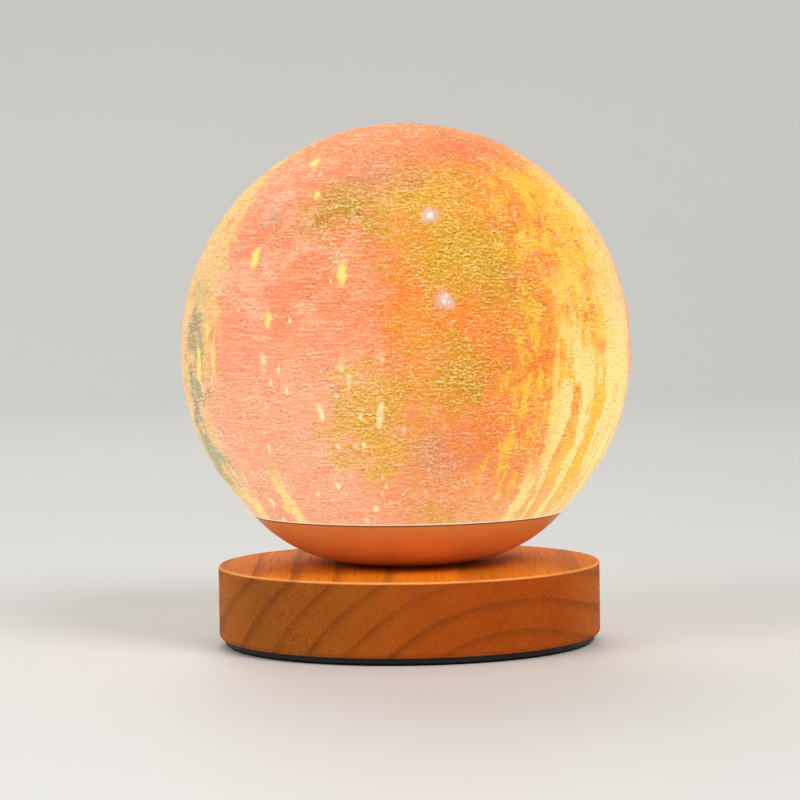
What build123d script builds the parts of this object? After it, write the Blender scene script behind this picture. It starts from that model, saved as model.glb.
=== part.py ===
from build123d import *
from math import cos, radians, sin, sqrt
import os

# Planet lamp: a printed globe on a shallow dish, standing and turning on a round wooden base.
# Millimetres, +Z up, origin on the table under the middle of the base, back of the lamp at +Y.

# Globe shell
globe_diameter = 150.0
shell_wall = 1.8
mouth_diameter = 103.0

# Dish under the globe
dish_depth = 16.3
dish_floor_diameter = 32.0
dish_wall = 2.0
spigot_height = 5.0
spigot_wall = 1.6
hook_reach = 0.8
hook_lift = 0.8
hook_height = 2.4
hook_arc = 14.0
hook_count = 4

# Wooden base
base_diameter = 127.0
wood_thickness = 24.2
wood_wall = 12.5
wood_ceiling = 6.0
top_edge_radius = 0.6
bottom_edge_radius = 1.8

# Bottom cover and foot pad
cover_thickness = 1.5
cover_inset = 1.9
cover_rib_height = 3.0
cover_rib_wall = 1.6
pad_thickness = 0.9
pad_inset = 1.2
cover_screw_count = 4
cover_screw_inset = 7.5

# Swivel and dock in the middle of the base
glide_proud = 0.5
glide_seat_depth = 1.0
glide_width = 5.5
glide_inset = 2.0
bush_stem_diameter = 9.6
bush_flange_gap = 1.0
bush_flange_thickness = 0.8
bush_tail = 1.0
barrel_diameter = 5.5
barrel_wall = 0.5
barrel_height = 8.0
barrel_lip_radius = 0.3
core_wall = 1.0
nut_flats = 13.0
nut_height = 3.0
magnet_inner_diameter = 16.4
magnet_width = 6.6
magnet_thickness = 3.0
plate_thickness = 1.0
plate_overlap = 2.0

# Jack, keeper and jack board in the dish
jack_body_diameter = 10.0
jack_nose_wall = 0.9
jack_roof = 1.0
jack_end_gap = 0.5
jack_pin_edge_radius = 0.4
keeper_thickness = 1.5
keeper_bore_gap = 1.2
jack_boss_offset = 4.5
jack_boss_diameter = 5.0
jack_board_margin = 3.5
jack_boss_count = 3

# Deck, lamp column and lamps
deck_thickness = 1.6
deck_drop = 0.8
deck_boss_diameter = 6.4
deck_boss_inset = 12.0
deck_boss_count = 4
lead_hole_diameter = 9.0
post_flange_diameter = 32.0
post_flange_thickness = 2.0
post_diameter = 16.0
post_bore_diameter = 10.0
post_height = 36.0
post_screw_count = 3
led_board_diameter = 37.0
led_screw_count = 3
led_count = 8
led_size = 5.0
led_height = 1.6
led_edge = 5.0

# Charging port, button and bezel at the back of the base
recess_width = 36.0
recess_height = 12.0
recess_depth = 4.9
channel_step = 5.5
channel_ledge = 1.0
bezel_thickness = 2.0
socket_width = 8.94
socket_height = 3.26
socket_depth = 7.3
socket_wall = 0.3
socket_back = 0.8
socket_setback = 1.0
tongue_width = 6.7
tongue_height = 0.7
tongue_setback = 0.9
button_diameter = 6.6
button_proud = 1.0
button_edge_radius = 0.5
button_flange = 0.9
button_flange_thickness = 1.0
button_travel = 0.6
button_stem_diameter = 3.0
button_stem_length = 0.8
plunger_diameter = 2.4
plunger_length = 2.8
plunger_proud = 1.5
switch_width = 6.0
switch_depth = 4.0
lens_diameter = 2.0
lens_tail = 1.0
bezel_screw_inset = 3.2

# Control board, battery and strap in the base
board_thickness = 1.6
board_length = 36.0
board_gap = 0.75
board_boss_lift = 7.5
board_boss_diameter = 5.0
board_boss_inset = 3.0
board_boss_back_inset = 14.5
chip_width = 6.0
chip_length = 5.0
chip_height = 1.5
coil_size = 6.0
coil_height = 3.0
can_diameter = 5.0
can_height = 5.4
parts_spacing = 1.2
parts_row = 13.0
battery_width = 44.0
battery_length = 30.0
battery_height = 7.5
battery_corner = 2.0
battery_gap = 1.5
tape_thickness = 0.6
tape_margin = 2.0
strap_width = 10.0
strap_thickness = 1.2
strap_foot = 7.0
strap_drop = 3.0
strap_boss_diameter = 5.4

# Leads
lead_diameter = 1.2
lead_bend = 1.2
led_lead_offset = 2.0
dock_lead_offset = 1.7
battery_lead_offset = 4.5
battery_lead_rise = 8.0

# Screws: shank and head diameters, head heights and lengths
small_shank = 1.9
small_head = 3.8
small_head_height = 1.3
medium_shank = 2.5
medium_head = 4.8
medium_head_height = 1.6
cover_shank = 2.9
cover_head = 5.6
cover_head_height = 1.2
bezel_shank = 2.0
bezel_head = 3.9
bezel_head_height = 1.1
board_screw_length = 6.0
post_screw_length = 5.0
led_screw_length = 6.0
jack_screw_length = 6.0
deck_screw_length = 8.0
strap_screw_length = 4.0
cover_screw_length = 12.0
bezel_screw_length = 9.0
slot_width = 0.5
slot_depth = 0.6
slot_margin = 0.9
head_edge_radius = 0.5

# Directions of the screw circles, in degrees from +X
diagonal = 45.0
backward = 90.0
post_screw_direction = 30.0

# Clearances
screw_gap = 0.05
hole_gap = 0.25
fit_gap = 0.05
running_gap = 0.2
loose_gap = 0.4
screw_end_gap = 0.8

# Radii worked out from the sizes above
globe_radius = globe_diameter / 2
shell_inner_radius = globe_radius - shell_wall
mouth_radius = mouth_diameter / 2
mouth_to_centre = sqrt(globe_radius**2 - mouth_radius**2)
mouth_inner_radius = sqrt(shell_inner_radius**2 - mouth_to_centre**2)
dish_floor_radius = dish_floor_diameter / 2
dish_arc_radius = ((mouth_radius - dish_floor_radius) ** 2 + dish_depth**2) / (2 * dish_depth)
spigot_radius = mouth_inner_radius - hole_gap
spigot_inner_radius = spigot_radius - spigot_wall
base_radius = base_diameter / 2
pocket_radius = base_radius - wood_wall
cover_radius = base_radius - cover_inset
cover_rib_radius = pocket_radius - running_gap
cover_rib_inner_radius = cover_rib_radius - cover_rib_wall
pad_radius = cover_radius - pad_inset
cover_screw_circle = base_radius - cover_screw_inset
glide_radius = dish_floor_radius - glide_inset
glide_bore_radius = glide_radius - glide_width
bush_radius = bush_stem_diameter / 2
barrel_radius = barrel_diameter / 2
core_radius = barrel_radius - barrel_wall
core_bore_radius = core_radius - core_wall
bush_flange_radius = glide_bore_radius - bush_flange_gap
magnet_inner_radius = magnet_inner_diameter / 2
magnet_radius = magnet_inner_radius + magnet_width
plate_radius = magnet_radius + plate_overlap
jack_bore_radius = barrel_radius + hole_gap
jack_pin_radius = core_bore_radius - running_gap
jack_nose_radius = jack_bore_radius + jack_nose_wall
jack_body_radius = jack_body_diameter / 2
keeper_radius = dish_floor_radius - loose_gap
keeper_bore_radius = jack_body_radius + keeper_bore_gap
jack_boss_circle = dish_floor_radius + jack_boss_offset
jack_board_radius = jack_boss_circle + jack_board_margin
deck_radius = spigot_inner_radius - loose_gap
deck_boss_circle = deck_radius - deck_boss_inset
post_radius = post_diameter / 2
post_screw_circle = (post_flange_diameter / 2 + post_radius) / 2
led_screw_circle = (post_radius + post_bore_diameter / 2) / 2
led_board_radius = led_board_diameter / 2
led_circle = led_board_radius - led_edge

# Levels, from the table up
cover_z = pad_thickness
wood_z = cover_z + cover_thickness
wood_top = wood_z + wood_thickness
ceiling_z = wood_top - wood_ceiling
glide_z = wood_top - glide_seat_depth
plate_z = ceiling_z - plate_thickness
nut_z = plate_z - nut_height
bush_end_z = nut_z - bush_tail
dish_z = wood_top + glide_proud
dish_inner_z = dish_z + dish_wall
mouth_z = dish_z + dish_depth
globe_z = mouth_z + mouth_to_centre
jack_bore_top = wood_top + barrel_height + jack_end_gap
jack_board_z = jack_bore_top + jack_roof
jack_board_top = jack_board_z + board_thickness
deck_z = mouth_z - deck_drop
deck_top = deck_z + deck_thickness
post_top = deck_top + post_height
led_board_top = post_top + board_thickness
board_z = wood_z + board_boss_lift
board_top = board_z + board_thickness
port_z = board_top + socket_height / 2
battery_z = wood_z + tape_thickness
battery_top = battery_z + battery_height
strap_top = battery_top + fit_gap + strap_thickness
strap_foot_z = strap_top - strap_thickness - strap_drop

# Places along Y at the back of the base
recess_y = base_radius - recess_depth
bezel_y = recess_y + bezel_thickness
socket_mouth_y = bezel_y - socket_setback
button_flange_y = recess_y - button_flange_thickness
button_end_y = button_flange_y - button_stem_length
board_back_y = button_end_y - button_travel - loose_gap
board_front_y = board_back_y - board_length
channel_width = recess_width - 2 * channel_step
channel_height = recess_height - 2 * channel_ledge
board_width = channel_width - 2 * board_gap
port_offset = (lens_diameter + channel_width) / 4
bezel_screw_x = recess_width / 2 - bezel_screw_inset
plunger_end_y = button_end_y - plunger_length
switch_face_y = button_end_y - plunger_proud
battery_corner_reach = cover_rib_inner_radius - battery_gap
battery_front_y = -sqrt(battery_corner_reach**2 - (battery_width / 2) ** 2)
battery_middle_y = battery_front_y + battery_length / 2
battery_back_y = battery_front_y + battery_length
strap_screw_x = battery_width / 2 + loose_gap + strap_thickness + strap_foot / 2

flat_bottom = (Align.CENTER, Align.CENTER, Align.MIN)


def disc(radius, bottom, top):
    return Pos(0, 0, bottom) * Cylinder(radius, top - bottom, align=flat_bottom)


def ring(radius, bore, bottom, top):
    return disc(radius, bottom, top) - disc(bore, bottom, top)


def block(width, length, bottom, top, x=0.0, y=0.0):
    return Pos(x, y, bottom) * Box(width, length, top - bottom, align=flat_bottom)


def lathe(*lines, turn=360.0):
    edges = [edge for line in lines for edge in line.edges()]
    return revolve(Plane.XZ * make_face(edges), Axis.Z, turn)


def around(count, radius, start):
    angles = [radians(start + 360.0 * i / count) for i in range(count)]
    return [(radius * cos(angle), radius * sin(angle)) for angle in angles]


def from_back(sketch, x, y, z, depth):
    plane = Plane(origin=(x, y, z), x_dir=(1, 0, 0), z_dir=(0, -1, 0))
    return extrude(plane * sketch, amount=depth)


def rod_from_back(radius, x, y, z, depth):
    return from_back(Circle(radius), x, y, z, depth)


def group(shape, places):
    return Compound([place * shape for place in places])


def cross_slot(head):
    bar = Box(head - 2 * slot_margin, slot_width, slot_depth)
    return Pos(0, 0, -slot_depth / 2) * (bar + Rot(0, 0, 90) * bar)


def pan_screw(shank, length, head, head_height):
    body = disc(shank / 2, -length, 0) + disc(head / 2, 0, head_height)
    top = body.edges().filter_by(GeomType.CIRCLE).sort_by(Axis.Z)[-1]
    body = fillet(top, head_edge_radius)
    return body - Pos(0, 0, head_height) * cross_slot(head)


def flush_screw(shank, length, head, head_height):
    cone = Pos(0, 0, -head_height) * Cone(shank / 2, head / 2, head_height, align=flat_bottom)
    return disc(shank / 2, -length, -head_height) + cone - cross_slot(head)


def screw_hole(shank, depth):
    return disc(shank / 2 + screw_gap, -depth - screw_end_gap, 0)


def flush_hole(shank, depth, head, head_height):
    cone = Cone(shank / 2 + screw_gap, head / 2 + screw_gap, head_height, align=flat_bottom)
    return disc(shank / 2 + screw_gap, -depth, 0) + Pos(0, 0, -head_height) * cone


def lead(points):
    path = FilletPolyline(*points, radius=lead_bend)
    start = Plane(origin=points[0], z_dir=path % 0)
    return sweep(start * Circle(lead_diameter / 2), path)


def screw_places(points, z):
    return [Pos(x, y, z) for x, y in points]


cover_screw_points = around(cover_screw_count, cover_screw_circle, diagonal)
deck_boss_points = around(deck_boss_count, deck_boss_circle, diagonal)
jack_boss_points = around(jack_boss_count, jack_boss_circle, backward)
post_screw_points = around(post_screw_count, post_screw_circle, post_screw_direction)
led_screw_points = around(led_screw_count, led_screw_circle, backward)
board_boss_x = board_width / 2 - board_boss_inset
board_boss_rows = (board_front_y + board_boss_inset, board_back_y - board_boss_back_inset)
board_boss_points = [(x, y) for x in (-board_boss_x, board_boss_x) for y in board_boss_rows]
strap_screw_points = [(-strap_screw_x, battery_middle_y), (strap_screw_x, battery_middle_y)]
bezel_screw_places = [
    Pos(x, bezel_y, port_z) * Rot(-90, 0, 0) for x in (-bezel_screw_x, bezel_screw_x)
]


def globe_shell():
    outer = ThreePointArc((mouth_radius, mouth_z), (globe_radius, globe_z), (0, globe_z + globe_radius))
    crown = Line((0, globe_z + globe_radius), (0, globe_z + shell_inner_radius))
    inner = ThreePointArc(
        (0, globe_z + shell_inner_radius),
        (shell_inner_radius, globe_z),
        (mouth_inner_radius, mouth_z),
    )
    mouth = Line((mouth_inner_radius, mouth_z), (mouth_radius, mouth_z))
    return lathe(outer, crown, inner, mouth)


def dish_outer_arc():
    return TangentArc((dish_floor_radius, dish_z), (mouth_radius, mouth_z), tangent=(1, 0))


def dish_solid_block():
    floor = Line((0, dish_z), (dish_floor_radius, dish_z))
    top = Polyline((mouth_radius, mouth_z), (0, mouth_z), (0, dish_z))
    return lathe(floor, dish_outer_arc(), top)


def dish_wall_body():
    inner_arc_radius = dish_arc_radius - dish_wall
    run = spigot_inner_radius - dish_floor_radius
    inner_end_z = dish_z + dish_arc_radius - sqrt(inner_arc_radius**2 - run**2)
    rim = Polyline(
        (mouth_radius, mouth_z),
        (spigot_radius, mouth_z),
        (spigot_radius, mouth_z + spigot_height),
        (spigot_inner_radius, mouth_z + spigot_height),
        (spigot_inner_radius, inner_end_z),
    )
    inner = TangentArc(
        (dish_floor_radius, dish_inner_z), (spigot_inner_radius, inner_end_z), tangent=(1, 0)
    )
    nose_hole = jack_nose_radius + running_gap
    floor = Polyline(
        (dish_floor_radius, dish_inner_z),
        (nose_hole, dish_inner_z),
        (nose_hole, dish_z),
        (dish_floor_radius, dish_z),
    )
    return lathe(dish_outer_arc(), rim, inner, floor)


def snap_hook():
    low = mouth_z + hook_lift
    profile = Polyline(
        (spigot_radius - spigot_wall / 2, low),
        (spigot_radius + hook_reach, low),
        (spigot_radius, low + hook_height),
        (spigot_radius - spigot_wall / 2, low + hook_height),
        close=True,
    )
    return Rot(0, 0, -hook_arc / 2) * lathe(profile, turn=hook_arc)


def dish():
    body = dish_wall_body()
    solid_block = dish_solid_block()
    for x, y in deck_boss_points:
        boss = Pos(x, y) * disc(deck_boss_diameter / 2, dish_z, deck_z)
        body += boss & solid_block
    for x, y in jack_boss_points:
        boss = Pos(x, y) * disc(jack_boss_diameter / 2, dish_z, jack_board_z)
        body += boss & solid_block
    for i in range(hook_count):
        body += Rot(0, 0, 360.0 * i / hook_count) * snap_hook()
    for place in screw_places(deck_boss_points, deck_z):
        body -= place * screw_hole(medium_shank, deck_screw_length - deck_thickness)
    for place in screw_places(jack_boss_points, jack_board_z):
        body -= place * screw_hole(small_shank, jack_screw_length - board_thickness)
    return body


def deck():
    body = ring(deck_radius, lead_hole_diameter / 2, deck_z, deck_top)
    for place in screw_places(deck_boss_points, deck_top):
        body -= place * screw_hole(medium_shank, deck_thickness)
    for place in screw_places(post_screw_points, deck_top):
        body -= place * screw_hole(small_shank, deck_thickness)
    return body


def led_post():
    flange_top = deck_top + post_flange_thickness
    body = disc(post_flange_diameter / 2, deck_top, flange_top)
    body += disc(post_radius, deck_top, post_top)
    body -= disc(post_bore_diameter / 2, deck_top, post_top)
    for place in screw_places(post_screw_points, flange_top):
        body -= place * screw_hole(small_shank, post_flange_thickness)
    for place in screw_places(led_screw_points, post_top):
        body -= place * screw_hole(small_shank, led_screw_length - board_thickness)
    return body


def led_board():
    body = disc(led_board_radius, post_top, led_board_top)
    for place in screw_places(led_screw_points, led_board_top):
        body -= place * screw_hole(small_shank, board_thickness)
    return body


def leds():
    chip = block(led_size, led_size, 0, led_height)
    places = [
        Rot(0, 0, 360.0 * i / led_count) * Pos(led_circle, 0, led_board_top) for i in range(led_count)
    ]
    return group(chip, places)


def led_leads():
    one = disc(lead_diameter / 2, jack_board_top, post_top)
    return group(one, [Pos(-led_lead_offset, 0), Pos(led_lead_offset, 0)])


def jack_board():
    body = disc(jack_board_radius, jack_board_z, jack_board_top)
    for place in screw_places(jack_boss_points, jack_board_top):
        body -= place * screw_hole(small_shank, board_thickness)
    return body


def power_jack():
    body = disc(jack_body_radius, dish_inner_z, jack_board_z)
    body += disc(jack_nose_radius, dish_z + running_gap, dish_inner_z)
    return body - disc(jack_bore_radius, dish_z, jack_bore_top)


def jack_pin():
    body = disc(jack_pin_radius, dish_z + dish_wall / 2, jack_bore_top)
    tip = body.edges().filter_by(GeomType.CIRCLE).sort_by(Axis.Z)[0]
    return fillet(tip, jack_pin_edge_radius)


def keeper_ring():
    return ring(keeper_radius, keeper_bore_radius, dish_inner_z, dish_inner_z + keeper_thickness)


def glide_ring():
    return ring(glide_radius, glide_bore_radius, glide_z, dish_z)


def wood_blank():
    body = disc(base_radius, wood_z, wood_top)
    rims = body.edges().filter_by(GeomType.CIRCLE).sort_by(Axis.Z)
    body = fillet(rims[0], bottom_edge_radius)
    rims = body.edges().filter_by(GeomType.CIRCLE).sort_by(Axis.Z)
    return fillet(rims[-1], top_edge_radius)


def wood_base():
    body = wood_blank()
    body -= disc(pocket_radius, wood_z, ceiling_z)
    body -= ring(
        magnet_radius + hole_gap, magnet_inner_radius - hole_gap, ceiling_z, ceiling_z + magnet_thickness
    )
    body -= disc(bush_radius + hole_gap, ceiling_z, wood_top)
    body -= disc(glide_radius + running_gap, glide_z, wood_top)
    body -= from_back(SlotOverall(recess_width, recess_height), 0, base_radius, port_z, recess_depth)
    channel_depth = recess_y - pocket_radius + wood_wall
    body -= from_back(Rectangle(channel_width, channel_height), 0, recess_y, port_z, channel_depth)
    for x, y in cover_screw_points:
        hole = screw_hole(cover_shank, cover_screw_length - cover_thickness)
        body -= Pos(x, y, wood_z) * Rot(180, 0, 0) * hole
    for place in bezel_screw_places:
        body -= place * screw_hole(bezel_shank, bezel_screw_length)
    return body


def bottom_cover():
    body = disc(cover_radius, cover_z, wood_z)
    rib_top = wood_z + cover_rib_height
    body += ring(cover_rib_radius, cover_rib_inner_radius, wood_z, rib_top)
    for x, y in board_boss_points:
        body += Pos(x, y) * disc(board_boss_diameter / 2, wood_z, board_z)
    for x, y in strap_screw_points:
        body += Pos(x, y) * disc(strap_boss_diameter / 2, wood_z, strap_foot_z)
    for place in screw_places(board_boss_points, board_z):
        body -= place * screw_hole(small_shank, board_screw_length - board_thickness)
    for place in screw_places(strap_screw_points, strap_foot_z):
        body -= place * screw_hole(small_shank, strap_screw_length - strap_thickness)
    for x, y in cover_screw_points:
        hole = flush_hole(cover_shank, cover_thickness, cover_head, cover_head_height)
        body -= Pos(x, y, cover_z) * Rot(180, 0, 0) * hole
    return body


def foot_pad():
    return disc(pad_radius, 0, pad_thickness)


def dock_bush():
    body = disc(bush_flange_radius, glide_z, glide_z + bush_flange_thickness)
    body += disc(bush_radius, bush_end_z, glide_z)
    return body - disc(barrel_radius + fit_gap, bush_end_z, glide_z + bush_flange_thickness)


def dock_barrel():
    body = ring(barrel_radius, core_radius, bush_end_z, wood_top + barrel_height)
    lip = body.edges().filter_by(GeomType.CIRCLE).sort_by(Axis.Z)[-2:].sort_by(SortBy.RADIUS)[-1]
    return fillet(lip, barrel_lip_radius)


def dock_core():
    core_top = wood_top + barrel_height - barrel_wall
    return ring(core_radius - fit_gap, core_bore_radius, bush_end_z, core_top)


def dock_nut():
    across = RegularPolygon(nut_flats / 2, 6, major_radius=False)
    body = extrude(Pos(0, 0, nut_z) * across, amount=nut_height)
    return body - disc(bush_radius + fit_gap, nut_z, plate_z)


def magnet_plate():
    return ring(plate_radius, bush_radius + hole_gap, plate_z, ceiling_z)


def ring_magnet():
    return ring(magnet_radius, magnet_inner_radius, ceiling_z, ceiling_z + magnet_thickness)


def dock_leads():
    edge_z = (board_z + board_top) / 2
    leads = []
    for side in (-1, 1):
        x = side * dock_lead_offset
        leads.append(lead([(x, 0, bush_end_z), (x, 0, edge_z), (x, board_front_y, edge_z)]))
    return Compound(leads)


def battery_leads():
    start_z = battery_z + battery_height / 2
    edge_z = (board_z + board_top) / 2
    rise_y = board_front_y - battery_lead_rise
    leads = []
    for side in (-1, 1):
        x = side * battery_lead_offset
        points = [
            (x, battery_back_y, start_z),
            (x, rise_y, start_z),
            (x, rise_y, edge_z),
            (x, board_front_y, edge_z),
        ]
        leads.append(lead(points))
    return Compound(leads)


def control_board():
    body = block(board_width, board_length, board_z, board_top, y=(board_front_y + board_back_y) / 2)
    for place in screw_places(board_boss_points, board_top):
        body -= place * screw_hole(small_shank, board_thickness)
    return body


def board_parts():
    row_y = board_front_y + parts_row
    can_y = board_boss_rows[-1] + small_head / 2 + parts_spacing + can_diameter / 2
    chip_x = -(chip_width + parts_spacing) / 2
    coil_x = (coil_size + parts_spacing) / 2
    chip = block(chip_width, chip_length, board_top, board_top + chip_height, chip_x, row_y)
    coil = block(coil_size, coil_size, board_top, board_top + coil_height, coil_x, row_y)
    can = Pos(-board_boss_x / 2, can_y) * disc(can_diameter / 2, board_top, board_top + can_height)
    return Compound([chip, coil, can])


def usb_socket():
    at_mouth = (-port_offset, socket_mouth_y, port_z)
    at_tongue = (-port_offset, socket_mouth_y - tongue_setback, port_z)
    outer = from_back(SlotOverall(socket_width, socket_height), *at_mouth, socket_depth)
    hollow = SlotOverall(socket_width - 2 * socket_wall, socket_height - 2 * socket_wall)
    inside = from_back(hollow, *at_mouth, socket_depth - socket_back)
    tongue = from_back(Rectangle(tongue_width, tongue_height), *at_tongue, socket_depth - tongue_setback)
    return outer - inside + tongue


def switch_body():
    middle_y = switch_face_y - switch_depth / 2
    switch_top = board_top + socket_height
    body = block(switch_width, switch_depth, board_top, switch_top, port_offset, middle_y)
    well_radius = (plunger_diameter + running_gap) / 2
    well_depth = plunger_length - plunger_proud + button_travel + loose_gap
    return body - rod_from_back(well_radius, port_offset, switch_face_y, port_z, well_depth)


def switch_plunger():
    return rod_from_back(plunger_diameter / 2, port_offset, button_end_y, port_z, plunger_length)


def power_button():
    front_y = bezel_y + button_proud
    cap = rod_from_back(button_diameter / 2, port_offset, front_y, port_z, front_y - button_flange_y)
    front = cap.edges().filter_by(GeomType.CIRCLE).sort_by(Axis.Y)[-1]
    cap = fillet(front, button_edge_radius)
    cap += rod_from_back(
        button_diameter / 2 + button_flange, port_offset, recess_y, port_z, button_flange_thickness
    )
    return cap + rod_from_back(
        button_stem_diameter / 2, port_offset, button_flange_y, port_z, button_stem_length
    )


def rear_bezel():
    outline = SlotOverall(recess_width - 2 * running_gap, recess_height - 2 * running_gap)
    body = from_back(outline, 0, bezel_y, port_z, bezel_thickness)
    window = SlotOverall(socket_width + 2 * hole_gap, socket_height + 2 * hole_gap)
    body -= from_back(window, -port_offset, bezel_y, port_z, bezel_thickness)
    body -= rod_from_back(button_diameter / 2 + running_gap, port_offset, bezel_y, port_z, bezel_thickness)
    body -= rod_from_back(lens_diameter / 2 + fit_gap, 0, bezel_y, port_z, bezel_thickness)
    for place in bezel_screw_places:
        body -= place * flush_hole(bezel_shank, bezel_thickness, bezel_head, bezel_head_height)
    return body


def charge_lens():
    return rod_from_back(lens_diameter / 2, 0, bezel_y, port_z, bezel_thickness + lens_tail)


def battery():
    body = block(battery_width, battery_length, battery_z, battery_top, y=battery_middle_y)
    return fillet(body.edges().filter_by(Axis.Z), battery_corner)


def battery_tape():
    width = battery_width - 2 * tape_margin
    length = battery_length - 2 * tape_margin
    return block(width, length, wood_z, battery_z, y=battery_middle_y)


def battery_strap():
    inner_half = battery_width / 2 + loose_gap
    outer_half = inner_half + strap_thickness
    foot_end = outer_half + strap_foot
    under = strap_top - strap_thickness
    foot_top = strap_foot_z + strap_thickness
    profile = Polyline(
        (-foot_end, strap_foot_z),
        (-inner_half, strap_foot_z),
        (-inner_half, under),
        (inner_half, under),
        (inner_half, strap_foot_z),
        (foot_end, strap_foot_z),
        (foot_end, foot_top),
        (outer_half, foot_top),
        (outer_half, strap_top),
        (-outer_half, strap_top),
        (-outer_half, foot_top),
        (-foot_end, foot_top),
        close=True,
    )
    body = from_back(make_face(profile), 0, battery_middle_y + strap_width / 2, 0, strap_width)
    for place in screw_places(strap_screw_points, foot_top):
        body -= place * screw_hole(small_shank, strap_thickness)
    return body


def small_pan(length):
    return pan_screw(small_shank, length, small_head, small_head_height)


def screws():
    deck_screw = pan_screw(medium_shank, deck_screw_length, medium_head, medium_head_height)
    cover_screw = flush_screw(cover_shank, cover_screw_length, cover_head, cover_head_height)
    bezel_screw = flush_screw(bezel_shank, bezel_screw_length, bezel_head, bezel_head_height)
    cover_places = [Pos(x, y, cover_z) * Rot(180, 0, 0) for x, y in cover_screw_points]
    flange_top = deck_top + post_flange_thickness
    foot_top = strap_foot_z + strap_thickness
    return {
        "deck_screws": group(deck_screw, screw_places(deck_boss_points, deck_top)),
        "post_screws": group(small_pan(post_screw_length), screw_places(post_screw_points, flange_top)),
        "led_screws": group(small_pan(led_screw_length), screw_places(led_screw_points, led_board_top)),
        "jack_screws": group(small_pan(jack_screw_length), screw_places(jack_boss_points, jack_board_top)),
        "board_screws": group(small_pan(board_screw_length), screw_places(board_boss_points, board_top)),
        "strap_screws": group(small_pan(strap_screw_length), screw_places(strap_screw_points, foot_top)),
        "cover_screws": group(cover_screw, cover_places),
        "bezel_screws": group(bezel_screw, bezel_screw_places),
    }


def all_pieces():
    single = (
        globe_shell, dish, deck, led_post, led_board, leds, led_leads, jack_board, power_jack,
        jack_pin, keeper_ring, glide_ring, wood_base, bottom_cover, foot_pad, dock_bush,
        dock_barrel, dock_core, dock_nut, magnet_plate, ring_magnet, dock_leads, battery_leads,
        control_board, board_parts, usb_socket, switch_body, switch_plunger, power_button,
        rear_bezel, charge_lens, battery, battery_tape, battery_strap,
    )
    pieces = {make.__name__: make() for make in single}
    pieces.update(screws())
    return pieces


os.makedirs("parts", exist_ok=True)
for name, shape in all_pieces().items():
    export_step(shape, f"parts/{name}.step")
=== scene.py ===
import math
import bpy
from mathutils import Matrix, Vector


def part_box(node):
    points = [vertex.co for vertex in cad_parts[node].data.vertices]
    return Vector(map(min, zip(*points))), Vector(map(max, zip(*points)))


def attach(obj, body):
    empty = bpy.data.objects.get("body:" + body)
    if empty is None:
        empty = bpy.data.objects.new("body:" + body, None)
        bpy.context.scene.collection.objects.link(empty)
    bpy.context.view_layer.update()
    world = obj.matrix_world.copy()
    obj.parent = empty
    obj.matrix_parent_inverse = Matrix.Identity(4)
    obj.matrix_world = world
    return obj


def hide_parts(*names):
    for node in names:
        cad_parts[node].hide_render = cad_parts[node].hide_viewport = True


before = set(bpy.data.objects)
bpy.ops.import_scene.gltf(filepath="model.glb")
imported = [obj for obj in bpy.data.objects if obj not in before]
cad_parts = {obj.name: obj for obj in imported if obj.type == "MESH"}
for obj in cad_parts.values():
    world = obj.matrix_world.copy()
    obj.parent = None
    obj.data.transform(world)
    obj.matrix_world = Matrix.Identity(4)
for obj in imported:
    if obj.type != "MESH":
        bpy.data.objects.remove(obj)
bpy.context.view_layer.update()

from types import SimpleNamespace
import bpy
import numpy as np
from mathutils import Matrix, Vector

scene = bpy.context.scene
scene.view_settings.view_transform = "Standard"
print("frame loaded:", len(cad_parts), "CAD nodes")


# small helpers for node trees

lacunarity = 2.17  # uneven, so that the finer waves of a noise don't line up into straight edges


def tone(red, green, blue):
    # screen colour 0-255 to the linear value that sockets take
    parts = [v / 255 for v in (red, green, blue)]
    return tuple(v / 12.92 if v <= 0.04045 else ((v + 0.055) / 1.055) ** 2.4 for v in parts) + (1.0,)


def feed(tree, node, inputs):
    # a socket is linked, any other value is set
    for key, value in inputs.items():
        if isinstance(value, bpy.types.NodeSocket):
            tree.links.new(value, node.inputs[key])
        else:
            node.inputs[key].default_value = value
    return node


def add(tree, kind, inputs=None, **settings):
    node = tree.nodes.new("ShaderNode" + kind)
    for key, value in settings.items():
        setattr(node, key, value)
    return feed(tree, node, inputs or {})


def calc(tree, operation, *values):
    return add(tree, "Math", dict(enumerate(values)), operation=operation).outputs[0]


def plus(tree, first, second):
    return calc(tree, "ADD", first, second)


def most(tree, first, second):
    return calc(tree, "MAXIMUM", first, second)


def times(tree, first, *others):
    for other in others:
        first = calc(tree, "MULTIPLY", first, other)
    return first


def centred(tree, value, span):
    # a noise about one half becomes one about nought, with this span
    return times(tree, calc(tree, "SUBTRACT", value, 0.5), span)


def vecCalc(tree, operation, *values):
    node = add(tree, "VectorMath", dict(enumerate(values)), operation=operation)
    return node.outputs["Value" if operation in ("DOT_PRODUCT", "LENGTH", "DISTANCE") else "Vector"]


def stretch(tree, vector, x, y, z):
    return vecCalc(tree, "MULTIPLY", vector, (x, y, z))


def axes(tree, vector):
    return add(tree, "SeparateXYZ", {0: vector}).outputs


def step(tree, value, low, high, outLow=0.0, outHigh=1.0):
    node = add(tree, "MapRange", {"Value": value, "From Min": low, "From Max": high,
                                  "To Min": outLow, "To Max": outHigh}, interpolation_type="SMOOTHSTEP")
    return node.outputs["Result"]


def blend(tree, factor, first, second, kind="MIX"):
    node = add(tree, "Mix", {0: factor, 6: first, 7: second}, data_type="RGBA", blend_type=kind)
    return node.outputs[2]


def noise(tree, vector, scale, detail, rough, output="Fac"):
    node = add(tree, "TexNoise", {"Vector": vector, "Scale": scale, "Detail": detail,
                                  "Roughness": rough, "Lacunarity": lacunarity})
    return node.outputs[output]


def objectPlace(tree):
    return add(tree, "TexCoord").outputs["Object"]


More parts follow.
